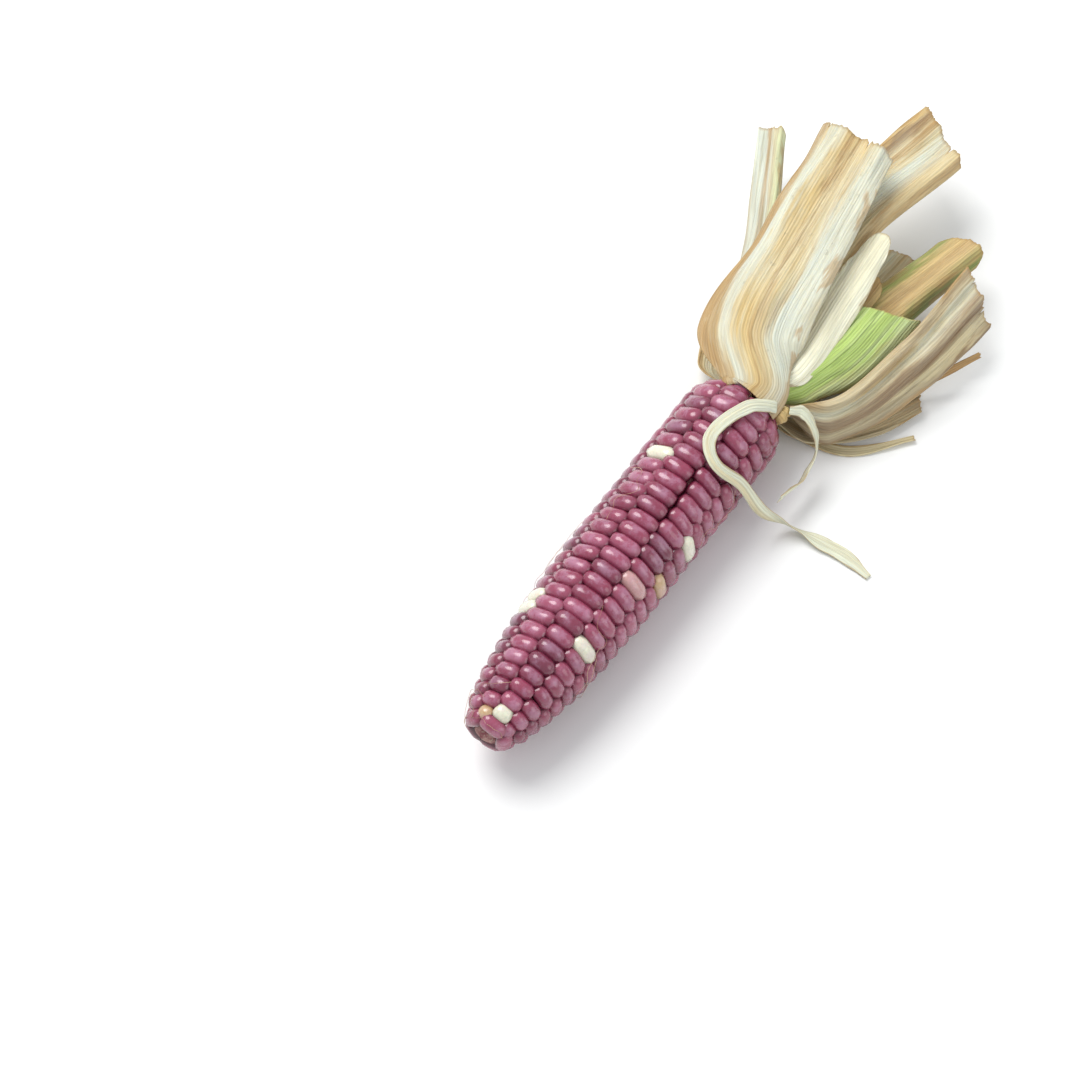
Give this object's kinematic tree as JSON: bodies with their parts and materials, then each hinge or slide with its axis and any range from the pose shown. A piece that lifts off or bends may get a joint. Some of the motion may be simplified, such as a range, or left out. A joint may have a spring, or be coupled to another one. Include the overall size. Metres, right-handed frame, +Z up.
{
  "type": "corn cob",
  "caption": "Small ear of red flint corn lying down, with glossy maroon kernels and its dry husk peeled back and tied behind it.",
  "frame": {"origin": "on the surface that the ear lies on, under the middle of the whole object's box", "axes": "+X along the ear from its tip towards the husk, +Z up"},
  "size_m": [0.254, 0.1096, 0.0391],
  "materials": {
    "kernels": "gloss",
    "stem": "matte",
    "husk_dry": "matte",
    "husk_green": "satin",
    "husk_pale": "matte"
  },
  "bodies": {
    "root": {"ear": "kernels", "stem": "stem", "husk_broad_top": "husk_dry", "husk_back_top": "husk_dry", "husk_cream_inner": "husk_pale", "husk_green": "husk_green", "husk_short_fold": "husk_dry", "husk_back_right": "husk_dry", "husk_striped_right": "husk_dry", "husk_curled_edge": "husk_dry", "husk_low_right": "husk_pale", "husk_thin_hooked": "husk_dry", "husk_small_left": "husk_pale", "husk_left_inner": "husk_dry", "husk_under_left": "husk_dry", "husk_under_middle": "husk_dry", "tie_band": "husk_dry", "tie_knot": "husk_dry", "tie_strip_long": "husk_pale", "tie_strip_loop": "husk_pale"}
  },
  "joints": []
}
